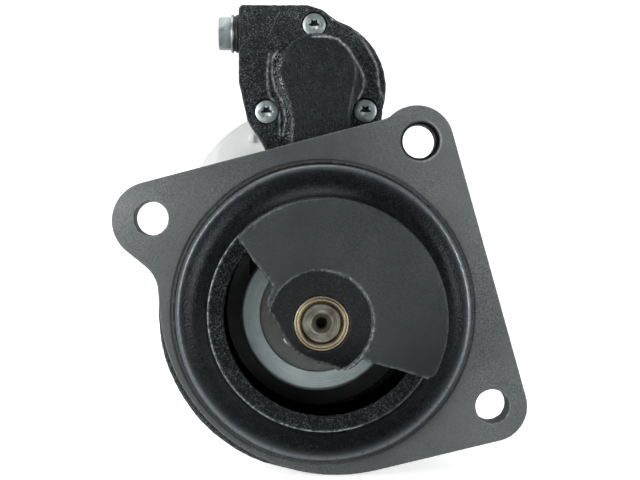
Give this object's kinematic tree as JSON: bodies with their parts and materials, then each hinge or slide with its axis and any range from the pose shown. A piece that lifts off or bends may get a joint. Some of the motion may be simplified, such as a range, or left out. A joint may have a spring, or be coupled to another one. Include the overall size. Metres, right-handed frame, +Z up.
{
  "type": "starter motor",
  "caption": "Pre-engaged starter motor with a black cast drive-end housing, three-eared flange, open nose, solenoid above a silver yoke and a rear support bracket.",
  "frame": {"origin": "centre of the flange's mounting face, on the spigot axis", "axes": "-Y along the nose into the bell housing, +Y towards the rear, +Z up to the solenoid, +X to the right seen from the nose"},
  "size_m": [0.1618, 0.2558, 0.1891],
  "materials": {
    "black_casting": "black paint on cast iron, satin, machined faces thinly coated",
    "bronze": "turned",
    "turned_steel": "turned",
    "zinc_plate": "zinc plated",
    "copper": "varnished",
    "laminations": "matt",
    "silver_paint": "satin silver",
    "cast_aluminium": "die cast",
    "black_paint": "satin black",
    "black_plastic": "moulded",
    "rubber": "matt",
    "brass": "pressed",
    "carbon": "pressed carbon and copper"
  },
  "bodies": {
    "housing": {"battery_terminal": "copper", "brush_boxes": "brass", "brush_plate": "zinc_plate", "brush_springs": "turned_steel", "cap_screws": "zinc_plate", "centre_bush": "bronze", "coil_bobbin": "black_plastic", "commutator_end_housing": "cast_aluminium", "drive_end_housing": "black_casting", "earth_bolt": "zinc_plate", "earth_washers": "zinc_plate", "field_coils": "copper", "intermediate_plate": "cast_aluminium", "lead_grommet": "rubber", "lever_pivot_pin": "turned_steel", "lever_seal": "rubber", "motor_lead": "copper", "motor_terminal": "copper", "nose_bush": "bronze", "plunger_spring": "turned_steel", "pole_screws": "zinc_plate", "pole_shoes": "laminations", "rear_bush": "bronze", "rear_cap": "zinc_plate", "rear_support_bracket": "silver_paint", "rear_thrust_washer": "turned_steel", "solenoid_cap": "black_plastic", "solenoid_cap_screws": "zinc_plate", "solenoid_case": "black_paint", "solenoid_core": "turned_steel", "solenoid_screws": "zinc_plate", "solenoid_winding": "copper", "terminal_nuts": "zinc_plate", "terminal_washers": "zinc_plate", "through_bolt_washers": "zinc_plate", "through_bolts": "zinc_plate", "trigger_terminal": "zinc_plate", "yoke": "silver_paint"},
    "armature": {"armature_shaft": "turned_steel", "armature_core": "laminations", "armature_winding": "copper", "commutator": "copper"},
    "drive": {"clutch_cover": "zinc_plate", "clutch_washer": "turned_steel", "clutch_shell": "turned_steel", "clutch_rollers": "turned_steel", "drive_sleeve": "turned_steel", "meshing_spring": "turned_steel", "guide_ring": "turned_steel", "sleeve_snap_ring": "turned_steel"},
    "pinion_gear": {"pinion": "turned_steel", "pinion_bushes": "bronze"},
    "lever": {"shift_lever": "black_casting"},
    "solenoid_plunger": {"plunger": "turned_steel"},
    "moving_contact": {"contact_rod": "black_plastic", "contact_bridge": "copper"},
    "brush_body_1": {"brush_1": "carbon"},
    "brush_body_2": {"brush_2": "carbon"},
    "brush_body_3": {"brush_3": "carbon"},
    "brush_body_4": {"brush_4": "carbon"}
  },
  "joints": [
    {"name": "armature_spin", "type": "hinge", "parent": "housing", "child": "armature", "pos_m": [-0.002, 0, -0.0011], "axis": [0, 1, 0], "continuous": true},
    {"name": "drive_slide", "type": "slide", "parent": "armature", "child": "drive", "axis": [0, -1, 0], "range_m": [0, 0.018]},
    {"name": "pinion_overrun", "type": "hinge", "parent": "drive", "child": "pinion_gear", "pos_m": [-0.002, 0, -0.0011], "axis": [0, 1, 0], "continuous": true},
    {"name": "lever_swing", "type": "hinge", "parent": "housing", "child": "lever", "pos_m": [-0.002, 0.042, 0.062], "axis": [-1, 0, 0], "range_deg": [0, 16.6]},
    {"name": "plunger_slide", "type": "slide", "parent": "housing", "child": "solenoid_plunger", "axis": [0, 1, 0], "range_m": [0, 0.00905], "deforming": ["plunger_spring"]},
    {"name": "contact_slide", "type": "slide", "parent": "housing", "child": "moving_contact", "axis": [0, 1, 0], "range_m": [0, 0.00275]},
    {"name": "brush_1_lift", "type": "slide", "parent": "housing", "child": "brush_body_1", "axis": [0.7071, 0, 0.7071], "range_m": [0, 0.004]},
    {"name": "brush_2_lift", "type": "slide", "parent": "housing", "child": "brush_body_2", "axis": [-0.7071, 0, 0.7071], "range_m": [0, 0.004]},
    {"name": "brush_3_lift", "type": "slide", "parent": "housing", "child": "brush_body_3", "axis": [-0.7071, 0, -0.7071], "range_m": [0, 0.004]},
    {"name": "brush_4_lift", "type": "slide", "parent": "housing", "child": "brush_body_4", "axis": [0.7071, 0, -0.7071], "range_m": [0, 0.004]}
  ],
  "couplings": [
    {"joint": "lever_swing", "follows": "drive_slide", "rad_per_m": 15.902},
    {"joint": "plunger_slide", "follows": "drive_slide", "ratio": 0.5007},
    {"joint": "contact_slide", "follows": "drive_slide", "ratio": 0.15}
  ]
}
